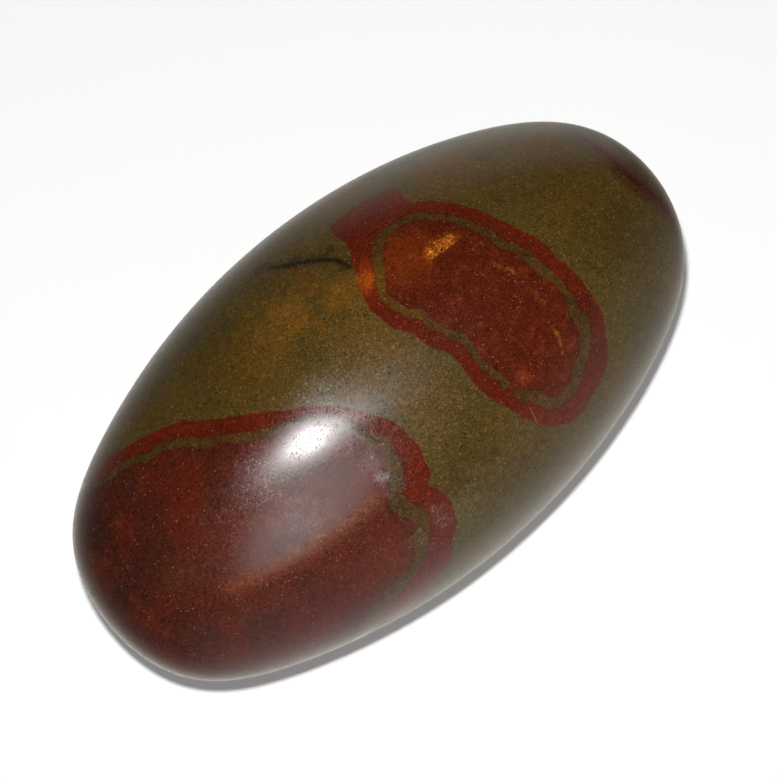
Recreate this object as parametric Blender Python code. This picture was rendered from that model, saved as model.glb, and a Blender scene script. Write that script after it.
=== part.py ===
"""Shiva lingam stone: one river-tumbled, hand-polished stone, egg-shaped and lying on its side.

Sizes are in millimetres and are turned into metres where the mesh is made.
+X runs along the stone to its narrower end, +Z is up, and the origin is under the middle
of the stone on the surface that it rests on.
"""

import math

import bmesh
import bpy
from mathutils import Matrix, Vector

MM = 0.001

# Driving dimensions: the stone before its underside was worn flat
LENGTH = 100.5
WIDTH = 55.0
HEIGHT = 51.2

# How much fuller each end is than an ellipsoid's, as a share of the radius at its tip
NARROW_END_FULLNESS = 0.207
BLUNT_END_FULLNESS = 0.331
END_POWER = 6

# The centreline bows sideways towards both ends, and more at the narrow one
SIDE_BOW = -0.68
SIDE_TURN = -0.36

# The narrow end leans: millimetres along the stone for each millimetre across it
NARROW_END_LEAN = 0.03
LEAN_POWER = 4

# How much the belly is worn away where the stone rests
WORN_DEPTH = 0.42

# Facets round the girth and from end to end
GIRTH_FACETS = 72
LENGTH_FACETS = 46

STONE_COLOUR = (0.105, 0.070, 0.032, 1.0)
STONE_ROUGHNESS = 0.32
SHARP_EDGE = math.radians(40)


def clear_scene():
    for old in list(bpy.data.objects):
        bpy.data.objects.remove(old)


def end_fullness(station):
    """Factor on the radius at a station from -1, the blunt tip, to 1, the narrow tip."""
    fullness = NARROW_END_FULLNESS if station > 0 else BLUNT_END_FULLNESS
    return 1 + fullness * abs(station) ** END_POWER


def stone_point(ball_point):
    """The point of the stone, in mm about its middle, for a point of a ball of radius 1."""
    station = ball_point.x
    swell = end_fullness(station)
    across = WIDTH / 2 * swell * ball_point.y
    up = HEIGHT / 2 * swell * ball_point.z
    lean = NARROW_END_LEAN * station ** LEAN_POWER if station > 0 else 0
    bow = SIDE_BOW * station ** 2 + SIDE_TURN * station ** 3
    worn_level = WORN_DEPTH - HEIGHT / 2
    return Vector((LENGTH / 2 * station + lean * across, across + bow, max(up, worn_level)))


def rest_on_origin(bm):
    """Moves the stone so that the middle of its underside's box is at the origin."""
    low = Vector([min(v.co[axis] for v in bm.verts) for axis in range(3)])
    high = Vector([max(v.co[axis] for v in bm.verts) for axis in range(3)])
    middle = (low + high) / 2
    bmesh.ops.translate(bm, verts=bm.verts, vec=(-middle.x, -middle.y, -low.z))


def stone_material():
    material = bpy.data.materials.new("polished_jasper")
    material.use_nodes = True
    shader = material.node_tree.nodes["Principled BSDF"]
    shader.inputs["Base Color"].default_value = STONE_COLOUR
    shader.inputs["Roughness"].default_value = STONE_ROUGHNESS
    shader.inputs["Metallic"].default_value = 0.0
    material.diffuse_color = STONE_COLOUR
    return material


def make_stone():
    """A ball with its poles on the X axis, drawn out to the stone's shape."""
    bm = bmesh.new()
    poles_on_x = Matrix.Rotation(math.radians(90), 4, "Y")
    bmesh.ops.create_uvsphere(
        bm,
        u_segments=GIRTH_FACETS,
        v_segments=LENGTH_FACETS,
        radius=1,
        matrix=poles_on_x,
    )
    for vertex in bm.verts:
        vertex.co = stone_point(vertex.co)
    rest_on_origin(bm)
    bmesh.ops.scale(bm, verts=bm.verts, vec=(MM, MM, MM))
    bmesh.ops.recalc_face_normals(bm, faces=bm.faces)

    mesh = bpy.data.meshes.new("stone")
    bm.to_mesh(mesh)
    bm.free()
    mesh.shade_smooth()
    mesh.set_sharp_from_angle(angle=SHARP_EDGE)
    mesh.materials.append(stone_material())
    stone = bpy.data.objects.new("stone", mesh)
    bpy.context.scene.collection.objects.link(stone)
    return stone


clear_scene()
make_stone()
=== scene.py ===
"""Looks of the shiva lingam stone: a polished olive jasper with brick-red patches.

The stone is one fine mesh of the frame's own form. Its markings are outlines read off the
picture, laid on the stone along the camera's rays, and kept on the mesh as distances in
millimetres to each outline. The material turns those distances into crisp, wobbly edges.
"""

import math

import bmesh
import bpy
import numpy as np
from mathutils import Matrix, Vector, noise
from mathutils.bvhtree import BVHTree
from mathutils.kdtree import KDTree


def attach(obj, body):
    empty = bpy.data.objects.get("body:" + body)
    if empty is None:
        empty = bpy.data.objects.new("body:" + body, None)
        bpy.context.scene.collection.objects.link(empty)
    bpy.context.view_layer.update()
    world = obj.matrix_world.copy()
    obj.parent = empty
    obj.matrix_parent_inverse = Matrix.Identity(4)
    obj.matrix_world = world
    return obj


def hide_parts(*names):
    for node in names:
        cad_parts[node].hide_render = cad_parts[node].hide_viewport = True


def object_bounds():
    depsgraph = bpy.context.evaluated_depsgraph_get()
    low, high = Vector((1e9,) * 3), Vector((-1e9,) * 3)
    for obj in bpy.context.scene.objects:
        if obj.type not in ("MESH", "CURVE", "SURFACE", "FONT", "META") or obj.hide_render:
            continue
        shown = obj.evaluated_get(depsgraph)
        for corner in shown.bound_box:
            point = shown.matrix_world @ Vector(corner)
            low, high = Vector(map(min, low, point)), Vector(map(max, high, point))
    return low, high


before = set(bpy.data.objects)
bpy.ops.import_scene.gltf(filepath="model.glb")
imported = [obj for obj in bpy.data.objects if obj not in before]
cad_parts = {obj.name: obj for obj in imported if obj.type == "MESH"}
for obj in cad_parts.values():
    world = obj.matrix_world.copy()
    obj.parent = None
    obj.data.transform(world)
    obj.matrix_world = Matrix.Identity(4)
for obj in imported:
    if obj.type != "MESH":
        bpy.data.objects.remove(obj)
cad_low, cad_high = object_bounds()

MM = 0.001
NODE = "stone"

# The stone's form, in mm and shares, as the frame's solid has it
NARROW_END_FULLNESS = 0.207
BLUNT_END_FULLNESS = 0.331
END_POWER = 6
SIDE_BOW = -0.68
SIDE_TURN = -0.36
NARROW_END_LEAN = 0.03
LEAN_POWER = 4
WORN_DEPTH = 0.42

# The mesh: cells along each side of its six grids, and how near to each other corners are
# joined, in cells
GRID_CELLS = 126
JOIN_REACH = 0.1

# Slight unevenness of the hand polish, cut inwards: depth and wavelength in mm. It fades out
# towards the worn flat, between two heights
WAVES = ((0.050, 19.0), (0.016, 6.5))
WAVE_STEP = 31.7
WAVE_START = (5.3, -12.1)
FLAT_CALM = (0.3, 2.5)

# The polish: roughness of the host stone and of the red bands, how much rougher the red cores
# are and the index of refraction the gloss shows
HOST_ROUGHNESS = 0.28
BAND_ROUGHNESS = 0.20
CORE_ROUGHER = 0.05
STONE_IOR = 1.36

# Low ridges and hollows between the faces of the hand polish: middle in the picture, the way
# they run there in degrees, half their width, half their length and their height in mm
RIDGES = (
    ((259, 421), 54, 4.0, 20.0, 0.46),
    ((251, 434), 80, 8.5, 20.0, 0.44),
    ((318, 372), 41, 14.0, 26.0, -0.45),
)

# The camera, which looks down on the stone lying on the floor
PICTURE_PX = 777
PX_PER_MM = 7.1
CAMERA_DISTANCE = 550.0
CAMERA_ELEVATION = math.radians(75)
STONE_TURN = math.radians(41.34)
STONE_CENTRE_PX = (381.2, 394.2)
SENSOR_MM = 36.0
CLIP_START = 0.01
CLIP_END = 20.0

# Lights, with places and sizes in m: a small key just over the lens, and a window, which leans
# from straight up by degrees to the picture's right and top. The window shows in the gloss
# alone, and a fill at its place only lights
KEY_OVER_LENS = 0.0375
KEY_BESIDE_LENS = -0.0105
KEY_SIZE = 0.018
KEY_LIGHT = 3.0
FILL_LIGHT = 1.1
WINDOW_TILT = (10.0, -38.0)
WINDOW_SIZE = (0.72, 0.98)
WINDOW_DISTANCE = 1.5
WINDOW_GLOW = 5.7

# The room as the stone's gloss sees it: the table below, which is dimmer towards the stone's
# ends and most at the blunt one, one paler side, one wall and the rest
DOWN = (0, 0, -1)
ALONG = (1, 0, 0)
TABLE_GLOW = 1.10
TABLE_POWER = 1.6
ENDS_FADE = (0.25, 0.85)
ENDS_DIM = 0.35
BLUNT_END_FADE = (0.05, 0.50)
BLUNT_END_DIM = 0.74
SIDE_AZIMUTH = -80
SIDE_FADE = (0.10, 0.85)
SIDE_RISE = (-0.55, -0.05)
SIDE_GLOW = 0.54
WALL_MIDDLE = (45, -14)
WALL_FADE = (0.80, 0.97)
WALL_GLOW = 0.75
ROOM_GLOW = 0.01

# The floor, with its half side in m
FLOOR_REACH = 3.0
FLOOR_ROUGHNESS = 0.8

# Outlines in the picture, in pixels of the 777 by 777 frame
PATCH_EDGE_PX = (
    (330, 229), (347, 212), (367, 199.5), (387, 190), (399, 189), (402, 196), (410, 202),
    (424, 201), (439, 201), (461, 205), (481, 211), (501, 220), (515, 228), (533, 236),
    (547, 246), (556, 257), (570, 269), (581, 280), (590, 293), (597, 304), (602.5, 314),
    (605.5, 333), (607.5, 352), (606, 369), (599, 384), (591, 398), (584, 411), (574, 420.5),
    (562.5, 425), (545.5, 426), (534, 422), (522, 417), (507, 407), (492, 399.5), (476.5, 386),
    (467, 374.5), (459, 363), (446, 352), (430.5, 347), (419, 339), (409.5, 332.5), (393, 328),
    (382, 319), (373, 312), (367, 305), (362.5, 294), (358, 287), (356, 273), (352, 264),
    (349, 253), (346, 244), (335, 235),
)
# The threads' third number is their width in the picture
PATCH_THREAD_PX = (
    (506, 385, 9), (501.5, 379, 7), (490, 371, 8), (480, 361, 7), (471.5, 350, 8),
    (462.5, 338.5, 9), (446, 332, 7), (430, 323, 8), (419.5, 314, 10), (410, 313.5, 8.5),
    (398.5, 307.5, 9), (387.5, 300, 8), (381.5, 290, 9.5), (380.5, 276, 9.5), (378, 262, 12),
    (378, 248.5, 11), (382.5, 237, 10), (392, 228, 9), (405.5, 219.5, 9), (420.5, 216.5, 9),
    (447, 218, 7), (462, 222, 8.5), (475, 227.5, 9), (489.5, 233.5, 8.5), (502.5, 244, 9.5),
    (518, 250.5, 10), (530, 259, 10.5), (538.5, 267.5, 10.5), (549.5, 275.5, 9), (561, 286, 8),
    (570, 299.5, 9), (575, 313, 12), (583, 323, 14), (586, 338, 12.5), (583.5, 355, 13),
    (578, 371, 14), (574, 385, 12.5), (565, 396.5, 12), (552.5, 403.5, 12), (542, 401, 11),
    (531.5, 396.5, 12), (518, 394, 9),
)
CAP_EDGE_PX = (
    (88, 481), (98, 465), (114, 453), (129, 445), (146, 436), (164, 427), (182, 421),
    (198, 421), (213, 419), (228, 417), (244, 415), (259, 413), (274, 411), (288, 410),
    (301, 407), (318, 406), (335, 405.5), (353, 409), (370, 414), (384, 418), (398, 425),
    (408, 435), (418, 445), (424, 459), (431, 473), (428, 484), (439, 490), (450, 500.5),
    (455, 514), (456, 528), (452, 545), (452, 555), (446, 568), (436, 579), (423, 593),
    (414, 604), (405, 611), (387, 621),
)
CAP_THREAD_PX = (
    (99, 483.5, 7.5), (115, 471.5, 8.5), (129.5, 462, 9), (148, 456.5, 9), (159.5, 449, 9),
    (176, 443.5, 8.5), (190, 442, 10), (205, 444, 10), (221, 439, 8), (236, 438, 9),
    (251, 436, 8), (267, 432, 8), (282, 426, 8), (304, 421, 8), (326, 419, 8), (340, 423, 9),
    (351, 429, 10), (362.5, 435.5, 11), (373, 441, 13), (383.5, 444.5, 13), (388, 450, 13),
    (390.5, 457, 14), (392.5, 464, 18), (395, 474.5, 17), (397, 485, 13), (396.5, 495.5, 14),
    (399, 505.5, 17), (410, 511.5, 16), (419, 517, 15), (423, 522, 14), (423, 529, 14),
    (421.5, 538.5, 18), (421, 548.5, 14), (420, 557.5, 14), (414, 570.5, 13), (403, 581, 16),
    (394, 591, 21), (385, 602, 22), (376, 614, 18),
)
CRIMSON_PX = (
    (570, 125), (583, 135), (598, 147), (608, 155), (617, 164), (629, 176), (642, 187),
    (657, 199), (670, 215), (677, 228), (681, 236),
)

# Where the outlines go on unseen: mm along the stone and degrees round it from +Y over the top
CAP_EDGE_UNSEEN = (
    (-22, 178), (-25, 190), (-24, 205), (-20, 220), (-19, 237), (-23, 254), (-29, 270),
    (-31, 286), (-29, 303), (-31, 320), (-35, 336), (-38, 350), (-40, 4),
)
CAP_THREAD_UNSEEN = (
    (-26, 183), (-28.5, 196), (-27, 210), (-23.5, 224), (-23, 240), (-27, 256), (-33, 271),
    (-35, 288), (-33, 304), (-35, 320), (-38.5, 336), (-41, 350), (-42, 4),
)
UNSEEN_THREAD_PX = 9
CRIMSON_UNSEEN = (
    (43, 190), (41, 215), (36, 240), (31, 262), (29, 285), (32, 310), (34, 335), (33, 355),
)

# A small red patch with its own thread, on the side turned from the camera
SPOT_EDGE = (
    (6, 262), (10, 248), (17, 241), (24, 246), (27, 258), (26, 272), (20, 284), (12, 291),
    (4, 290), (0, 280), (1, 270),
)
SPOT_THREAD = (
    (8.5, 264), (12, 253), (17.5, 247), (22, 251), (24, 260), (23, 271), (18, 280),
    (11.5, 286), (6, 285), (3.5, 278), (4.5, 270),
)

# Samples for each stretch between an outline's points
EDGE_PIECES = 8
SPOT_PIECES = 16
THREAD_PIECES = 12
LONG_PIECES = 24


def rgb(red, green, blue):
    """An opaque colour."""
    return (red, green, blue, 1.0)


# The colours of the floor, of the room's light and of the stone, linear
FLOOR_COLOUR = rgb(0.93, 0.93, 0.93)
ROOM_TINT = rgb(1.0, 0.980, 0.89)
SIDE_TINT = rgb(0.98, 1.0, 1.0)
OLIVE = rgb(0.066, 0.0375, 0.0060)
OCHRE = rgb(0.140, 0.060, 0.007)
GREEN = rgb(0.050, 0.0340, 0.0070)
UMBER = rgb(0.060, 0.0310, 0.0045)
BROWN = rgb(0.105, 0.0400, 0.0075)
DARK_OLIVE = rgb(0.044, 0.0260, 0.0040)
GREY_BROWN = rgb(0.085, 0.060, 0.022)
SMUDGE = rgb(0.024, 0.0135, 0.005)
BAND_RED = rgb(0.086, 0.0100, 0.0030)
BAND_DARK = rgb(0.052, 0.0080, 0.0030)
CORE_RED = rgb(0.064, 0.0085, 0.0025)
CORE_ORANGE = rgb(0.130, 0.021, 0.003)
CAP_RED = rgb(0.070, 0.0100, 0.0040)
CAP_DARK = rgb(0.030, 0.0085, 0.0055)
CAP_BROWN = rgb(0.062, 0.023, 0.0085)
CAP_GLOW = rgb(0.165, 0.042, 0.009)
THREAD = rgb(0.064, 0.0300, 0.0060)
THREAD_DARK = rgb(0.044, 0.0230, 0.0060)
FRINGE = rgb(0.036, 0.0065, 0.0038)
CRIMSON = rgb(0.044, 0.0050, 0.0010)
VEIN = rgb(0.012, 0.0065, 0.0025)
GLOW = rgb(0.42, 0.095, 0.007)
GLOW_RED = rgb(0.175, 0.024, 0.0035)
SPOT_RED = rgb(0.150, 0.022, 0.0075)
FLECK = rgb(0.24, 0.080, 0.012)
EMBER = rgb(0.66, 0.26, 0.030)
# The pale patches: mostly painted sheen, partly scuffs
SCUFF_AND_SHEEN = rgb(0.37, 0.345, 0.33)
PALE = rgb(0.28, 0.20, 0.11)
PIT = rgb(0.010, 0.005, 0.003)

# Clouds of colour: noise, the values at which they start and are full, strength, colour
HOST_CLOUDS = (
    ("cloud", (0.38, 0.66), 1.00, GREEN),
    ("mottle", (0.50, 0.36), 0.60, UMBER),
    ("wobble", (0.52, 0.70), 0.45, GREY_BROWN),
)
HOST_FLECKS = (("fleck", (0.52, 0.72), 0.25, OCHRE),)
KIDNEY_CLOUDS = (
    ("mottle", (0.48, 0.70), 0.45, CORE_ORANGE),
    ("fleck", (0.52, 0.72), 0.25, CORE_ORANGE),
)
CAP_CLOUDS = (
    ("cloud", (0.40, 0.66), 0.60, CAP_DARK),
    ("mottle", (0.50, 0.75), 0.40, CAP_BROWN),
)
BAND_CLOUDS = (("cloud", (0.40, 0.62), 0.25, BAND_DARK),)
THREAD_CLOUDS = (("mottle", (0.42, 0.58), 1.00, THREAD),)

# Soft blots of colour: middle in the picture, radius in mm, colour, strength
HOST_BLOTS = (
    ((283, 322), 8.5, OCHRE, 0.45),
    ((287, 313), 4.5, OCHRE, 0.55),
    ((342, 292), 5.5, OCHRE, 0.70),
    ((250, 350), 8.0, OCHRE, 0.35),
    ((225, 362), 9.0, UMBER, 0.65),
    ((150, 420), 7.0, UMBER, 0.40),
    ((312, 358), 4.5, GREEN, 0.60),
    ((372, 342), 9.0, OCHRE, 0.28),
    ((425, 398), 8.0, OCHRE, 0.15),
    ((300, 283), 4.5, BROWN, 0.50),
    ((335, 198), 9.0, BROWN, 0.70),
    ((440, 165), 9.0, BROWN, 0.60),
    ((520, 140), 9.0, BROWN, 0.45),
    ((635, 240), 10.0, DARK_OLIVE, 0.90),
    ((462, 512), 5.0, GREY_BROWN, 0.55),
    ((560, 170), 9.0, UMBER, 0.80),
    ((500, 178), 7.0, UMBER, 0.50),
    ((600, 235), 9.0, DARK_OLIVE, 0.55),
    ((640, 300), 9.0, GREEN, 0.40),
    ((505, 150), 10.0, GREY_BROWN, 0.30),
    ((633, 166), 2.6, SMUDGE, 0.45),
    ((480, 446), 5.0, DARK_OLIVE, 0.60),
    ((456, 480), 3.5, DARK_OLIVE, 0.65),
    ((454, 491), 0.8, SMUDGE, 0.60),
    ((473, 480), 1.0, SMUDGE, 0.40),
    ((497, 453), 1.0, SMUDGE, 0.40),
    ((523, 460), 0.9, SMUDGE, 0.40),
    ((514, 475), 0.8, SMUDGE, 0.40),
    ((295, 262), 1.3, VEIN, 0.50),
    ((328, 251), 1.3, VEIN, 0.45),
)
RED_BLOTS = (
    ((180, 475), 6.0, BAND_RED, 0.50),
    ((225, 428), 6.0, BAND_DARK, 0.50),
    ((320, 592), 5.0, CAP_DARK, 0.35),
    ((100, 535), 5.5, CAP_DARK, 0.90),
    ((140, 572), 7.0, CAP_DARK, 0.75),
    ((120, 590), 5.0, CAP_DARK, 0.60),
    ((180, 625), 5.0, CAP_DARK, 0.50),
    ((180, 578), 4.5, CAP_BROWN, 0.35),
    ((400, 553), 6.5, CORE_ORANGE, 0.28),
    ((250, 610), 5.0, CORE_ORANGE, 0.10),
    ((597, 350), 5.0, BAND_DARK, 0.80),
    ((588, 312), 4.0, BAND_DARK, 0.70),
    ((403, 256), 6.5, CORE_ORANGE, 0.75),
    ((365, 278), 5.4, GLOW_RED, 0.95),
    ((367, 280), 2.2, GLOW, 0.35),
    ((524, 376), 2.0, SPOT_RED, 0.85),
    # The pale blot on the small chip is a painted gleam, the chip's reflection of the sheen
    ((382, 476), 0.5, PALE, 0.20),
)
THREAD_BLOTS = (((381, 282), 5.5, OCHRE, 0.50), ((410, 313), 4.0, OCHRE, 0.30))

# Streaks of colour: their line in the picture, half width in mm, colour, strength
STREAKS = (
    (((404, 285), (409, 271), (424, 258), (440, 246), (458, 234)), 1.5, CORE_ORANGE, 0.80),
    (((427, 254), (438, 247), (452, 238)), 1.6, GLOW, 0.95),
    (((472, 250), (480, 244)), 0.5, FLECK, 0.48),
    (((492, 262), (511, 270), (522, 279)), 0.4, FLECK, 0.48),
    (((528, 288), (543, 300)), 0.5, FLECK, 0.48),
    (((549, 322), (560, 338), (563, 352)), 0.4, FLECK, 0.48),
    (((232, 588), (270, 569), (310, 548), (352, 520), (374, 502)), 2.5, CAP_GLOW, 0.90),
)

# Pale patches on the polish, mostly painted sheen and partly scuffs: middle in the picture,
# radius in mm, strength
SCUFF_AND_SHEEN_PATCHES = (
    ((262, 476), 5.5, 0.22),
    ((300, 522), 6.0, 0.16),
    ((372, 462), 2.5, 0.24),
    ((380, 478), 1.5, 0.26),
    ((440, 518), 3.0, 0.11),
    ((320, 395), 4.5, 0.15),
    ((396, 482), 3.0, 0.10),
    ((421, 542), 2.5, 0.10),
)

# The ember, the dark vein with its crack, single scratches and pits, in the picture
EMBER_PX = ((433, 252), (442, 246), (450, 239))
VEIN_PX = ((258, 269), (287, 264), (305, 261), (326, 258), (349, 264))
CRACK_PX = ((272, 268), (290, 265), (306, 262), (322, 260), (335, 260), (350, 266))
SCRATCHES = (
    ((438, 511), (443, 503)),
    ((442, 520), (447, 513)),
    ((436, 524), (439, 519)),
    ((301, 246), (312, 237)),
    ((530, 408), (537, 422)),
    ((409, 540), (420, 529)),
)
PITS = ((295, 418), (310, 417), (303, 422), (382, 476), (375, 485), (389, 507))

# Noises of the stone: scale per mm, detail, roughness and distortion
NOISES = {
    "cloud": (0.11, 3.0, 0.55, 0.0),
    "mottle": (0.55, 4.0, 0.6, 0.0),
    "fleck": (1.3, 3.0, 0.7, 0.8),
    "wobble": (1.2, 4.0, 0.7, 0.0),
    "grain": (3.0, 2.0, 0.8, 1.0),
}

# Tufts and hairs, the stone's pale and dark strands: scale per mm, then the detail, roughness
# and distortion of the noise that draws them, and the values at which a strand starts and is
# full, across its line and along it
TUFT_SCALE = 2.0
HAIR_SCALE = 1.7
HAIR_OFFSET = (11, 7, 3)
STRAND_CURL = (0.0, 0.5, 1.2)
STRAND_LINE = (0.085, 0.01)
STRAND_GAPS = (0.38, 0.52)

# How far the noises shift edges in all, in mm, and the radius from which a blot is ragged
RAGGED_SHIFT = 9.0
RAGGED_FROM = 4
FRAY_SHIFT = 3.0
EDGE_SHIFT = 0.75
THREAD_SHIFT = 1.5
VEIN_SHIFT = 1.2
CRACK_SHIFT = 1.0
SCRATCH_SHIFT = 0.3

# How marks fade: the distances in mm at which they start and are full, and their strength
VEIN_FADE = (1.50, 0.10, 0.60)
CRACK_FADE = (0.60, 0.05, 0.85)
CRIMSON_HAZE = (3.6, 0.8, 0.65)
CRIMSON_FADE = (1.10, 0.30, 1.0)
RED_FADE = (0.07, -0.07, 1.0)
CORE_FADE = (0.10, -0.10, 1.0)
CAP_CORE_FADE = (0.5, -0.5, 1.0)
FRINGE_FADE = (0.45, 0.05, 0.55)
THREAD_FADE = (0.16, -0.14, 0.90)
EMBER_FADE = (1.1, 0.1, 1.0)
SCRATCH_FADE = (0.13, 0.03, 0.28)
PIT_FADE = (0.22, 0.10, 0.90)

# The values of the grain between which the ember comes out, and the shares of their radius
# within which blots and dots are full
EMBER_GRAIN = (0.48, 0.66)
BLOT_FULL = 0.1
DOT_FULL = 0.4

# Light and dark in the texture, by which the colours are multiplied: the grain from its low to
# its high values, what a tuft adds and what a hair leaves. Then the share of the pale patches,
# mostly painted sheen and partly scuffs, that lies in the tufts
GRAIN_SHADE = (0.28, 0.72, 0.70, 1.28)
TUFT_SHADE = 0.80
HAIR_SHADE = 0.56
SCUFF_AND_SHEEN_TUFTS = 0.7

# Dots: cells per mm, radius in mm, share of the cells that have one
DARK_DOTS = (1.6, 0.13, 0.13)
PALE_DOTS = (1.4, 0.13, 0.36)
PALE_DOT_STRENGTH = 0.55

# How the roughness changes: over the edges in mm, and with the mottle, tufts and hairs
GLOSS_EDGE = (0.3, -0.3)
MOTTLE_GLOSS = 0.14
TUFT_GLOSS = 0.11
HAIR_GLOSS = -0.06


def catmull_rom(points, closed, pieces):
    """A smooth curve through points, with pieces samples for each stretch."""
    points = np.array([tuple(p) for p in points])
    if closed:
        points = np.vstack([points[-1], points, points[0], points[1]])
    else:
        points = np.vstack([2 * points[0] - points[1], points, 2 * points[-1] - points[-2]])
    share = (np.arange(pieces) / pieces)[:, None]
    samples = []
    for p0, p1, p2, p3 in zip(points, points[1:], points[2:], points[3:]):
        samples.append(
            0.5
            * (
                2 * p1
                + (p2 - p0) * share
                + (2 * p0 - 5 * p1 + 4 * p2 - p3) * share**2
                + (3 * p1 - p0 - 3 * p2 + p3) * share**3
            )
        )
    return np.vstack(samples)


def ball_grid():
    """A ball of radius 1 in six square grids, evenly spaced, with its edges joined."""
    bm = bmesh.new()
    turns = [Matrix.Rotation(math.radians(90 * i), 4, "X") for i in range(4)]
    turns += [Matrix.Rotation(math.radians(side), 4, "Y") for side in (90, -90)]
    for turn in turns:
        place = turn @ Matrix.Translation((0, 0, 1))
        bmesh.ops.create_grid(
            bm, x_segments=GRID_CELLS, y_segments=GRID_CELLS, size=1, matrix=place
        )
    bmesh.ops.remove_doubles(bm, verts=bm.verts, dist=JOIN_REACH * 2 / GRID_CELLS)
    return bm


def stone_form(ball):
    """The stone's surface in mm for points of the ball, before the polish's unevenness."""
    size = (cad_high - cad_low) / MM
    station = ball[:, 0]
    fullness = np.where(station > 0, NARROW_END_FULLNESS, BLUNT_END_FULLNESS)
    swell = 1 + fullness * np.abs(station) ** END_POWER
    across = size.y / 2 * swell * ball[:, 1]
    height = size.z + WORN_DEPTH
    up = height / 2 * swell * ball[:, 2]
    lean = NARROW_END_LEAN * np.clip(station, 0, 1) ** LEAN_POWER
    bow = SIDE_BOW * station**2 + SIDE_TURN * station**3
    along = size.x / 2 * station + lean * across
    level = np.maximum(up + height / 2 - WORN_DEPTH, 0)
    return np.stack([along, across + bow, level], axis=1)


def unevenness(points):
    """How far inwards each point lies, in mm."""
    depth = np.zeros(len(points))
    for number, (deep, length) in enumerate(WAVES):
        offset = Vector((WAVE_STEP * number, *WAVE_START))
        waves = [noise.noise(Vector(p) / length + offset) for p in points.tolist()]
        depth += deep * (0.5 + 0.5 * np.clip(waves, -1, 1))
    low, high = FLAT_CALM
    calm = np.clip((points[:, 2] - low) / (high - low), 0, 1)
    return depth * calm


def ridges(surface):
    """How far outwards the ridges lift each point, in mm."""
    right, up = camera_frame()[1:3]
    lift = np.zeros(len(surface.points))
    for pixel, degrees, half_width, half_length, height in RIDGES:
        away = surface.points - np.array(surface.under_pixel(pixel))
        turn = math.radians(degrees)
        along = away @ np.array(right * math.cos(turn) + up * math.sin(turn))
        beside = np.sqrt(np.maximum((away**2).sum(axis=1) - along**2, 0))
        lift += height * np.exp(-0.5 * ((beside / half_width) ** 2 + (along / half_length) ** 2))
    return lift


def read(mesh, name):
    """A mesh's places or normals, one row for each vertex."""
    values = np.zeros(len(mesh.vertices) * 3, np.float32)
    mesh.vertices.foreach_get(name, values)
    return values.reshape(-1, 3).astype(float)


def make_stone():
    """The stone's fine mesh: the ball of grids, drawn out to the stone's form and polished."""
    bm = ball_grid()
    mesh = bpy.data.meshes.new("polished_stone")
    bm.to_mesh(mesh)
    bm.free()
    ball = np.tan(read(mesh, "co") * math.pi / 4)
    ball /= np.linalg.norm(ball, axis=1)[:, None]
    points = stone_form(ball)
    mesh.vertices.foreach_set("co", (points * MM).astype(np.float32).ravel())
    mesh.update()
    shift = ridges(Stone(mesh)) - unevenness(points)
    points += read(mesh, "normal") * shift[:, None]
    mesh.vertices.foreach_set("co", (points * MM).astype(np.float32).ravel())
    mesh.shade_smooth()
    mesh.update()
    stone = bpy.data.objects.new("polished_stone", mesh)
    bpy.context.scene.collection.objects.link(stone)
    return stone


def camera_frame():
    """The camera's place, in mm, and its right, up and backward directions."""
    turn, tilt = -STONE_TURN, CAMERA_ELEVATION
    back = Vector(
        (math.sin(turn) * math.cos(tilt), -math.cos(turn) * math.cos(tilt), math.sin(tilt))
    )
    right = Vector((math.cos(turn), math.sin(turn), 0))
    up = back.cross(right)
    middle = Vector((0, 0, (cad_high.z / MM + WORN_DEPTH) / 2 - WORN_DEPTH))
    half = PICTURE_PX / 2
    aim = (
        middle
        + right * (half - STONE_CENTRE_PX[0]) / PX_PER_MM
        - up * (half - STONE_CENTRE_PX[1]) / PX_PER_MM
    )
    return aim + back * CAMERA_DISTANCE, right, up, back


def make_camera():
    """The camera at the picture's angle, distance and scale."""
    place, right, up, back = camera_frame()
    data = bpy.data.cameras.new("camera")
    data.sensor_width = SENSOR_MM
    data.lens = SENSOR_MM * PX_PER_MM * CAMERA_DISTANCE / PICTURE_PX
    data.clip_start = CLIP_START
    data.clip_end = CLIP_END
    camera = bpy.data.objects.new("camera", data)
    rotation = Matrix((right, up, back)).transposed()
    camera.matrix_world = Matrix.Translation(place * MM) @ rotation.to_4x4()
    bpy.context.scene.collection.objects.link(camera)
    bpy.context.scene.camera = camera


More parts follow.
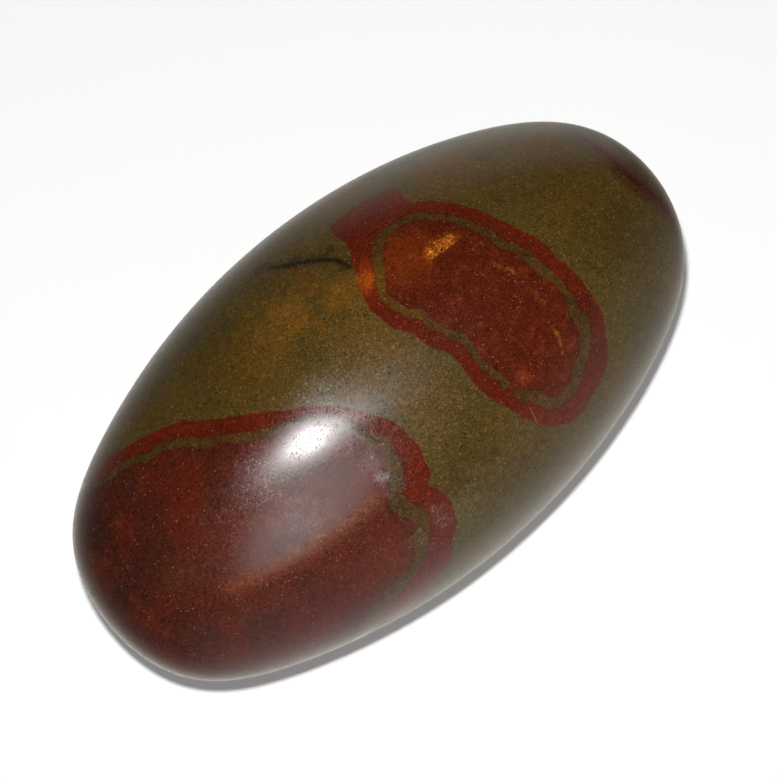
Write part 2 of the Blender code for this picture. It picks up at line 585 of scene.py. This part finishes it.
class Stone:
    """The stone's surface, on which outlines are laid and distances measured, in mm."""

    def __init__(self, mesh):
        self.mesh = mesh
        self.points = read(mesh, "co") / MM
        faces = [tuple(face.vertices) for face in mesh.polygons]
        self.tree = BVHTree.FromPolygons(self.points.tolist(), faces)
        self.middle = self.points[:, 2].max() / 2
        self.chart = self.flatten(self.points)

    def under_pixel(self, pixel):
        """The point of the stone that a pixel of the picture shows."""
        place, right, up, back = camera_frame()
        focal = PX_PER_MM * CAMERA_DISTANCE
        half = PICTURE_PX / 2
        ray = right * (pixel[0] - half) / focal - up * (pixel[1] - half) / focal - back
        hit = self.tree.ray_cast(place, ray.normalized())[0]
        if hit is None:
            raise ValueError(f"pixel {pixel} is off the stone")
        return hit

    def at(self, along, degrees):
        """The point at mm along the stone and degrees round it, from +Y over the top."""
        angle = math.radians(degrees)
        start = Vector((along, 0, self.middle))
        return self.tree.ray_cast(start, Vector((0, math.cos(angle), math.sin(angle))))[0]

    def flatten(self, points):
        """A flat map of the stone with its blunt tip in the middle."""
        angle = np.arctan2(points[:, 2] - self.middle, points[:, 1])
        reach = points[:, 0] - self.points[:, 0].min()
        return np.stack([reach * np.cos(angle), reach * np.sin(angle)], axis=1)

    def distance(self, curve):
        """Each vertex's distance to the curve's samples, less the fourth number they may have."""
        tree = KDTree(len(curve))
        for index, sample in enumerate(curve.tolist()):
            tree.insert(sample[:3], index)
        tree.balance()
        found = [tree.find(p)[1:] for p in self.points.tolist()]
        nearest, distance = np.array(found).T
        own = curve[nearest.astype(int), 3:].sum(axis=1)
        return distance - own

    def inside(self, curve):
        """Which vertices a closed curve holds."""
        corners = self.flatten(curve)
        x, y = self.chart[:, 0], self.chart[:, 1]
        held = np.zeros(len(self.points), bool)
        for (x0, y0), (x1, y1) in zip(corners, np.roll(corners, -1, axis=0)):
            if y0 == y1:
                continue
            crosses = (y0 > y) != (y1 > y)
            held ^= crosses & (x < x0 + (y - y0) * (x1 - x0) / (y1 - y0))
        return held

    def signed_distance(self, curve):
        """Distance to a closed curve, negative inside."""
        distance = self.distance(curve)
        return np.where(self.inside(curve), -distance, distance)

    def route(self, pixels, unseen=()):
        """The points that pixels show, and after them those at unseen places."""
        return [self.under_pixel(p) for p in pixels] + [self.at(*place) for place in unseen]

    def thread_route(self, pixels, unseen=()):
        """The same for a thread, with its half width in mm as each point's fourth number."""
        widths = [p[2] for p in pixels] + [UNSEEN_THREAD_PX] * len(unseen)
        points = self.route(pixels, unseen)
        return [(*p, width / 2 / PX_PER_MM) for p, width in zip(points, widths)]

    def keep(self, name, values):
        """Keeps a value for each vertex on the mesh."""
        attribute = self.mesh.attributes.new(name, "FLOAT", "POINT")
        attribute.data.foreach_set("value", values.astype(np.float32))


def lay_markings(surface):
    """Keeps the distances to the markings' outlines on the mesh, by name."""
    edges = (
        (surface.route(PATCH_EDGE_PX), True, EDGE_PIECES),
        (surface.route(CAP_EDGE_PX, CAP_EDGE_UNSEEN), True, EDGE_PIECES),
        (surface.route((), SPOT_EDGE), True, SPOT_PIECES),
    )
    threads = (
        (surface.thread_route(PATCH_THREAD_PX), False, THREAD_PIECES),
        (surface.thread_route(CAP_THREAD_PX, CAP_THREAD_UNSEEN), True, THREAD_PIECES),
        (surface.thread_route((), SPOT_THREAD), True, LONG_PIECES),
    )
    reds = [surface.signed_distance(catmull_rom(*edge)) for edge in edges]
    lines = [surface.distance(catmull_rom(*thread)) for thread in threads]
    patch_core, cap_core, spot_core = [
        surface.signed_distance(catmull_rom(thread[0], True, EDGE_PIECES)[:, :3])
        for thread in threads
    ]
    crimson = catmull_rom(surface.route(CRIMSON_PX, CRIMSON_UNSEEN), False, LONG_PIECES)
    surface.keep("red_mm", np.minimum.reduce(reds))
    surface.keep("core_mm", np.minimum.reduce([patch_core, cap_core, spot_core]))
    surface.keep("cap_core_mm", cap_core)
    surface.keep("thread_mm", np.minimum.reduce(lines))
    surface.keep("crimson_mm", surface.distance(crimson))


class Tree:
    """A material's or world's nodes: sockets or plain values go in, and a socket comes out."""

    # A mix node's sockets for colours
    MIX_FIRST = 6
    MIX_SECOND = 7
    MIX_RESULT = 2

    def __init__(self, owner):
        self.owner = owner
        owner.use_nodes = True
        self.nodes = owner.node_tree.nodes
        self.links = owner.node_tree.links

    def put(self, value, socket):
        """Links a socket, or sets a plain value."""
        if isinstance(value, bpy.types.NodeSocket):
            self.links.new(value, socket)
        else:
            socket.default_value = value

    def add(self, kind, inputs, **settings):
        """A new node with its inputs and settings."""
        node = self.nodes.new(kind)
        for name, value in settings.items():
            setattr(node, name, value)
        for key, value in inputs.items():
            self.put(value, node.inputs[key])
        return node

    def math(self, operation, first, second=0.0, third=0.0):
        """The result of a math node."""
        inputs = {0: first, 1: second, 2: third}
        return self.add("ShaderNodeMath", inputs, operation=operation).outputs[0]

    def vector(self, operation, first, second=(0, 0, 0), scale=1.0):
        """The result of a vector math node, a number for distances and dot products."""
        node = self.add("ShaderNodeVectorMath", {0: first, 1: second}, operation=operation)
        if operation == "SCALE":
            self.put(scale, node.inputs["Scale"])
        return node.outputs["Value" if operation in ("DISTANCE", "DOT_PRODUCT") else "Vector"]

    def attribute(self, name):
        """A value kept on the mesh."""
        return self.add("ShaderNodeAttribute", {}, attribute_name=name).outputs["Fac"]

    def noise(self, where, scale, detail, rough, warp):
        """A noise's value, around 0.5."""
        inputs = {
            "Vector": where, "Scale": scale, "Detail": detail,
            "Roughness": rough, "Distortion": warp,
        }
        return self.add("ShaderNodeTexNoise", inputs).outputs["Fac"]

    def step(self, value, low, high, start=0.0, end=1.0):
        """Goes smoothly from start to end as value goes from low to high."""
        inputs = {"Value": value, "From Min": low, "From Max": high, "To Min": start, "To Max": end}
        node = self.add("ShaderNodeMapRange", inputs, interpolation_type="SMOOTHSTEP")
        return node.outputs["Result"]

    def fade(self, away, outer, inner, strength):
        """0 from the outer distance outwards, the strength from the inner distance inwards."""
        return self.step(away, outer, inner, 0.0, strength)

    def spread(self, value, width):
        """A noise value turned into a shift of up to about half the width either way."""
        return self.math("MULTIPLY", self.math("SUBTRACT", value, 0.5), width)

    def strands(self, where, scale, gaps):
        """Thin curled lines, broken where the gaps' noise is low."""
        curl = self.noise(where, scale, *STRAND_CURL)
        line = self.math("ABSOLUTE", self.math("SUBTRACT", curl, 0.5))
        return self.math("MULTIPLY", self.step(line, *STRAND_LINE), self.step(gaps, *STRAND_GAPS))

    def dots(self, where, scale, radius, share):
        """Round dots of about the radius, in mm, in a share of the cells."""
        cells = self.add("ShaderNodeTexVoronoi", {"Vector": where, "Scale": scale})
        chance = self.add("ShaderNodeSeparateColor", {0: cells.outputs["Color"]}).outputs[0]
        size = radius * scale
        dot = self.step(cells.outputs["Distance"], size, size * DOT_FULL)
        return self.math("MULTIPLY", dot, self.math("LESS_THAN", chance, share))

    def stroke(self, where, places):
        """The distance in mm to the straight lines from place to place."""
        nearest = None
        for start, end in zip(places, places[1:]):
            way = end - start
            away = self.vector("SUBTRACT", where, tuple(start))
            share = self.vector("DOT_PRODUCT", away, tuple(way / way.length_squared))
            share = self.math("MINIMUM", self.math("MAXIMUM", share, 0.0), 1.0)
            gap = self.vector("DISTANCE", away, self.vector("SCALE", tuple(way), scale=share))
            nearest = gap if nearest is None else self.math("MINIMUM", nearest, gap)
        return nearest

    def mix(self, factor, first, second, blend="MIX"):
        """The first colour with the factor's share of the second."""
        node = self.add("ShaderNodeMix", {0: factor}, data_type="RGBA", blend_type=blend)
        self.put(first, node.inputs[self.MIX_FIRST])
        self.put(second, node.inputs[self.MIX_SECOND])
        return node.outputs[self.MIX_RESULT]


class StoneTree(Tree):
    """The stone's nodes, with the noises and the places that its colours share."""

    def __init__(self, owner, surface):
        super().__init__(owner)
        self.seen = surface.under_pixel
        place = self.add("ShaderNodeTexCoord", {}).outputs["Object"]
        self.where = self.vector("SCALE", place, scale=1 / MM)
        self.noises = {name: self.noise(self.where, *kind) for name, kind in NOISES.items()}
        mottle, fleck = self.noises["mottle"], self.noises["fleck"]
        self.ragged = self.spread(mottle, RAGGED_SHIFT)
        self.fray = self.frayed(self.spread(fleck, FRAY_SHIFT), "mottle", FRAY_SHIFT)
        self.tuft = self.strands(self.where, TUFT_SCALE, fleck)
        hair_place = self.vector("ADD", self.where, HAIR_OFFSET)
        self.hair = self.strands(hair_place, HAIR_SCALE, fleck)
        self.red = self.frayed(self.attribute("red_mm"), "wobble", EDGE_SHIFT)
        self.core = self.frayed(self.attribute("core_mm"), "wobble", EDGE_SHIFT)

    def frayed(self, away, name, width):
        """A distance with its edge shifted by one of the noises."""
        return self.math("ADD", away, self.spread(self.noises[name], width))

    def line(self, pixels):
        """The distance to the lines between places in the picture."""
        return self.stroke(self.where, [self.seen(p) for p in pixels])

    def from_pixel(self, pixel):
        """The distance to one place in the picture."""
        return self.vector("DISTANCE", self.where, tuple(self.seen(pixel)))

    def clouds(self, base, table):
        """The base with a table's clouds of colour over it."""
        for name, (low, high), strength, colour in table:
            factor = self.step(self.noises[name], low, high, 0.0, strength)
            base = self.mix(factor, base, colour)
        return base

    def blots(self, base, table):
        """The base with a table's blots of colour over it."""
        for centre, radius, colour, strength in table:
            shift = self.ragged if radius > RAGGED_FROM else self.fray
            away = self.math("ADD", self.from_pixel(centre), shift)
            factor = self.fade(away, radius, radius * BLOT_FULL, strength)
            base = self.mix(factor, base, colour)
        return base


def host_colour(tree):
    """The olive stone with its blots and flecks, the dark vein and the crimson arc."""
    host = tree.clouds(OLIVE, HOST_CLOUDS)
    host = tree.blots(host, HOST_BLOTS)
    host = tree.clouds(host, HOST_FLECKS)
    vein = tree.frayed(tree.line(VEIN_PX), "fleck", VEIN_SHIFT)
    host = tree.mix(tree.fade(vein, *VEIN_FADE), host, SMUDGE)
    crack = tree.frayed(tree.line(CRACK_PX), "fleck", CRACK_SHIFT)
    host = tree.mix(tree.fade(crack, *CRACK_FADE), host, VEIN)
    crimson = tree.frayed(tree.attribute("crimson_mm"), "wobble", EDGE_SHIFT)
    host = tree.mix(tree.fade(crimson, *CRIMSON_HAZE), host, CRIMSON)
    return tree.mix(tree.fade(crimson, *CRIMSON_FADE), host, CRIMSON)


def patch_colour(tree):
    """The red patches: their bands, the cores within the threads, blots, streaks and ember."""
    kidney = tree.clouds(CORE_RED, KIDNEY_CLOUDS)
    cap = tree.clouds(CAP_RED, CAP_CLOUDS)
    is_cap = tree.fade(tree.attribute("cap_core_mm"), *CAP_CORE_FADE)
    band = tree.clouds(BAND_RED, BAND_CLOUDS)
    patch = tree.mix(tree.fade(tree.core, *CORE_FADE), band, tree.mix(is_cap, kidney, cap))
    patch = tree.blots(patch, RED_BLOTS)
    for pixels, half_width, colour, strength in STREAKS:
        away = tree.math("ADD", tree.line(pixels), tree.fray)
        patch = tree.mix(tree.fade(away, half_width, -half_width, strength), patch, colour)
    ember = tree.fade(tree.math("ADD", tree.line(EMBER_PX), tree.fray), *EMBER_FADE)
    ember = tree.math("MULTIPLY", ember, tree.step(tree.noises["grain"], *EMBER_GRAIN))
    return tree.mix(ember, patch, EMBER)


def add_threads(tree, patch):
    """The olive threads in the red patches, each with its darker fringe."""
    thread = tree.frayed(tree.attribute("thread_mm"), "fleck", THREAD_SHIFT)
    patch = tree.mix(tree.fade(thread, *FRINGE_FADE), patch, FRINGE)
    strand = tree.clouds(THREAD_DARK, THREAD_CLOUDS)
    strand = tree.blots(strand, THREAD_BLOTS)
    return tree.mix(tree.fade(thread, *THREAD_FADE), patch, strand)


def add_scuffs_and_sheen(tree, base):
    """Pale patches, mostly painted sheen and partly scuffs, which show most of all in the tufts."""
    for centre, radius, strength in SCUFF_AND_SHEEN_PATCHES:
        away = tree.math("ADD", tree.from_pixel(centre), tree.ragged)
        factor = tree.fade(away, radius, 0.0, strength)
        fibres = tree.math("MULTIPLY_ADD", tree.tuft, SCUFF_AND_SHEEN_TUFTS, 1 - SCUFF_AND_SHEEN_TUFTS)
        base = tree.mix(tree.math("MULTIPLY", factor, fibres), base, SCUFF_AND_SHEEN)
    return base


def add_texture(tree, base):
    """Grain, pale tufts and dark hairs of fibre, and dark and pale dots."""
    shade = tree.step(tree.noises["grain"], *GRAIN_SHADE)
    shade = tree.math("MULTIPLY_ADD", tree.tuft, TUFT_SHADE, shade)
    shade = tree.math("MULTIPLY", shade, tree.step(tree.hair, 0.0, 1.0, 1.0, HAIR_SHADE))
    grey = tree.add("ShaderNodeCombineColor", {0: shade, 1: shade, 2: shade}).outputs[0]
    base = tree.mix(1.0, base, grey, "MULTIPLY")
    base = tree.mix(tree.dots(tree.where, *DARK_DOTS), base, PIT)
    pale = tree.math("MULTIPLY", tree.dots(tree.where, *PALE_DOTS), PALE_DOT_STRENGTH)
    return tree.mix(pale, base, PALE)


def add_damage(tree, base):
    """Single scratches and pits."""
    for pixels in SCRATCHES:
        away = tree.frayed(tree.line(pixels), "grain", SCRATCH_SHIFT)
        base = tree.mix(tree.fade(away, *SCRATCH_FADE), base, PALE)
    for pixel in PITS:
        base = tree.mix(tree.fade(tree.from_pixel(pixel), *PIT_FADE), base, PIT)
    return base


def polish(tree):
    """The roughness: glossier on the red bands, duller on the tufts."""
    gloss = tree.step(tree.red, *GLOSS_EDGE, HOST_ROUGHNESS, BAND_ROUGHNESS)
    gloss = tree.math("ADD", gloss, tree.step(tree.core, *GLOSS_EDGE, 0.0, CORE_ROUGHER))
    gloss = tree.frayed(gloss, "mottle", MOTTLE_GLOSS)
    gloss = tree.math("MULTIPLY_ADD", tree.tuft, TUFT_GLOSS, gloss)
    return tree.math("MULTIPLY_ADD", tree.hair, HAIR_GLOSS, gloss)


def stone_material(surface):
    """The polished stone with all its markings."""
    tree = StoneTree(bpy.data.materials.new("polished_jasper"), surface)
    patch = add_threads(tree, patch_colour(tree))
    base = tree.mix(tree.fade(tree.red, *RED_FADE), host_colour(tree), patch)
    for add in (add_scuffs_and_sheen, add_texture, add_damage):
        base = add(tree, base)
    shader = tree.nodes["Principled BSDF"]
    tree.put(base, shader.inputs["Base Color"])
    tree.put(polish(tree), shader.inputs["Roughness"])
    tree.put(STONE_IOR, shader.inputs["IOR"])
    return tree.owner


def make_floor():
    """The plain pale floor that the stone lies on."""
    mesh = bpy.data.meshes.new("floor")
    reach = FLOOR_REACH
    corners = [(-reach, -reach, 0), (reach, -reach, 0), (reach, reach, 0), (-reach, reach, 0)]
    mesh.from_pydata(corners, [], [(0, 1, 2, 3)])
    floor = bpy.data.objects.new("floor", mesh)
    bpy.context.scene.collection.objects.link(floor)
    tree = Tree(bpy.data.materials.new("pale_floor"))
    shader = tree.nodes["Principled BSDF"]
    tree.put(FLOOR_COLOUR, shader.inputs["Base Color"])
    tree.put(FLOOR_ROUGHNESS, shader.inputs["Roughness"])
    tree.put(0.0, shader.inputs["Specular IOR Level"])
    mesh.materials.append(tree.owner)
    floor.visible_glossy = False


def direction(azimuth, elevation):
    """The direction at degrees from +X towards +Y and degrees up."""
    turn, rise = math.radians(azimuth), math.radians(elevation)
    flat = math.cos(rise)
    return Vector((math.cos(turn) * flat, math.sin(turn) * flat, math.sin(rise)))


def overhead(tilt):
    """A direction that leans from straight up by degrees to the picture's right and top."""
    turn = math.degrees(math.atan2(tilt[1], tilt[0]) - STONE_TURN)
    return direction(turn, 90 - math.hypot(*tilt))


def place_light(name, spot, middle, size, strength):
    """An area light at spot, in m, that faces middle and gives the strength there in W/m2."""
    data = bpy.data.lights.new(name, "AREA")
    data.shape = "ELLIPSE"
    data.size, data.size_y = size
    away = spot - middle
    data.energy = strength * math.pi * away.length_squared
    light = bpy.data.objects.new(name, data)
    light.location = spot
    light.rotation_euler = away.to_track_quat("Z", "Y").to_euler()
    bpy.context.scene.collection.objects.link(light)
    return light


def make_lights():
    """The key over the lens, the window as the gloss shows it, and the fill at its place."""
    lens, right, up, _ = camera_frame()
    middle = Vector((0, 0, cad_high.z / 2))
    key_spot = lens * MM + up * KEY_OVER_LENS + right * KEY_BESIDE_LENS
    place_light("key", key_spot, middle, (KEY_SIZE, KEY_SIZE), KEY_LIGHT)
    window_spot = middle + overhead(WINDOW_TILT) * WINDOW_DISTANCE
    solid_angle = WINDOW_SIZE[0] * WINDOW_SIZE[1] * math.pi / 4 / WINDOW_DISTANCE**2
    window = place_light("window", window_spot, middle, WINDOW_SIZE, WINDOW_GLOW * solid_angle)
    window.visible_diffuse = False
    fill = place_light("fill", window_spot, middle, WINDOW_SIZE, FILL_LIGHT)
    fill.visible_glossy = False
    for light in (window, fill):
        light.data.use_shadow = False


def make_world():
    """A dark room round a lit table, as the stone's gloss sees it: paler below and at one wall."""
    world = bpy.data.worlds.new("dark_room")
    tree = Tree(world)
    way = tree.add("ShaderNodeTexCoord", {}).outputs["Generated"]
    low = tree.vector("DOT_PRODUCT", way, DOWN)
    below = tree.math("POWER", tree.math("MAXIMUM", low, 0.0), TABLE_POWER)
    along = tree.vector("DOT_PRODUCT", way, ALONG)
    ends = tree.math("ABSOLUTE", along)
    below = tree.math("MULTIPLY", below, tree.step(ends, *ENDS_FADE, 1.0, ENDS_DIM))
    blunt_end = tree.math("MULTIPLY", along, -1.0)
    below = tree.math("MULTIPLY", below, tree.step(blunt_end, *BLUNT_END_FADE, 1.0, BLUNT_END_DIM))
    glow = tree.math("MULTIPLY_ADD", below, TABLE_GLOW, ROOM_GLOW)
    side = tree.vector("DOT_PRODUCT", way, tuple(direction(SIDE_AZIMUTH, 0)))
    side = tree.math("MULTIPLY", tree.step(side, *SIDE_FADE), tree.step(low, *SIDE_RISE))
    glow = tree.math("MULTIPLY_ADD", side, SIDE_GLOW, glow)
    wall = tree.vector("DOT_PRODUCT", way, tuple(direction(*WALL_MIDDLE)))
    glow = tree.math("ADD", glow, tree.step(wall, *WALL_FADE, 0.0, WALL_GLOW))
    back = tree.nodes["Background"]
    tree.put(tree.mix(side, ROOM_TINT, SIDE_TINT), back.inputs["Color"])
    tree.put(glow, back.inputs["Strength"])
    bpy.context.scene.world = world
    bpy.context.scene.view_settings.view_transform = "Standard"


stone = make_stone()
make_camera()
surface = Stone(stone.data)
lay_markings(surface)
stone.data.materials.append(stone_material(surface))
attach(stone, "root")
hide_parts(NODE)
make_floor()
make_lights()
make_world()
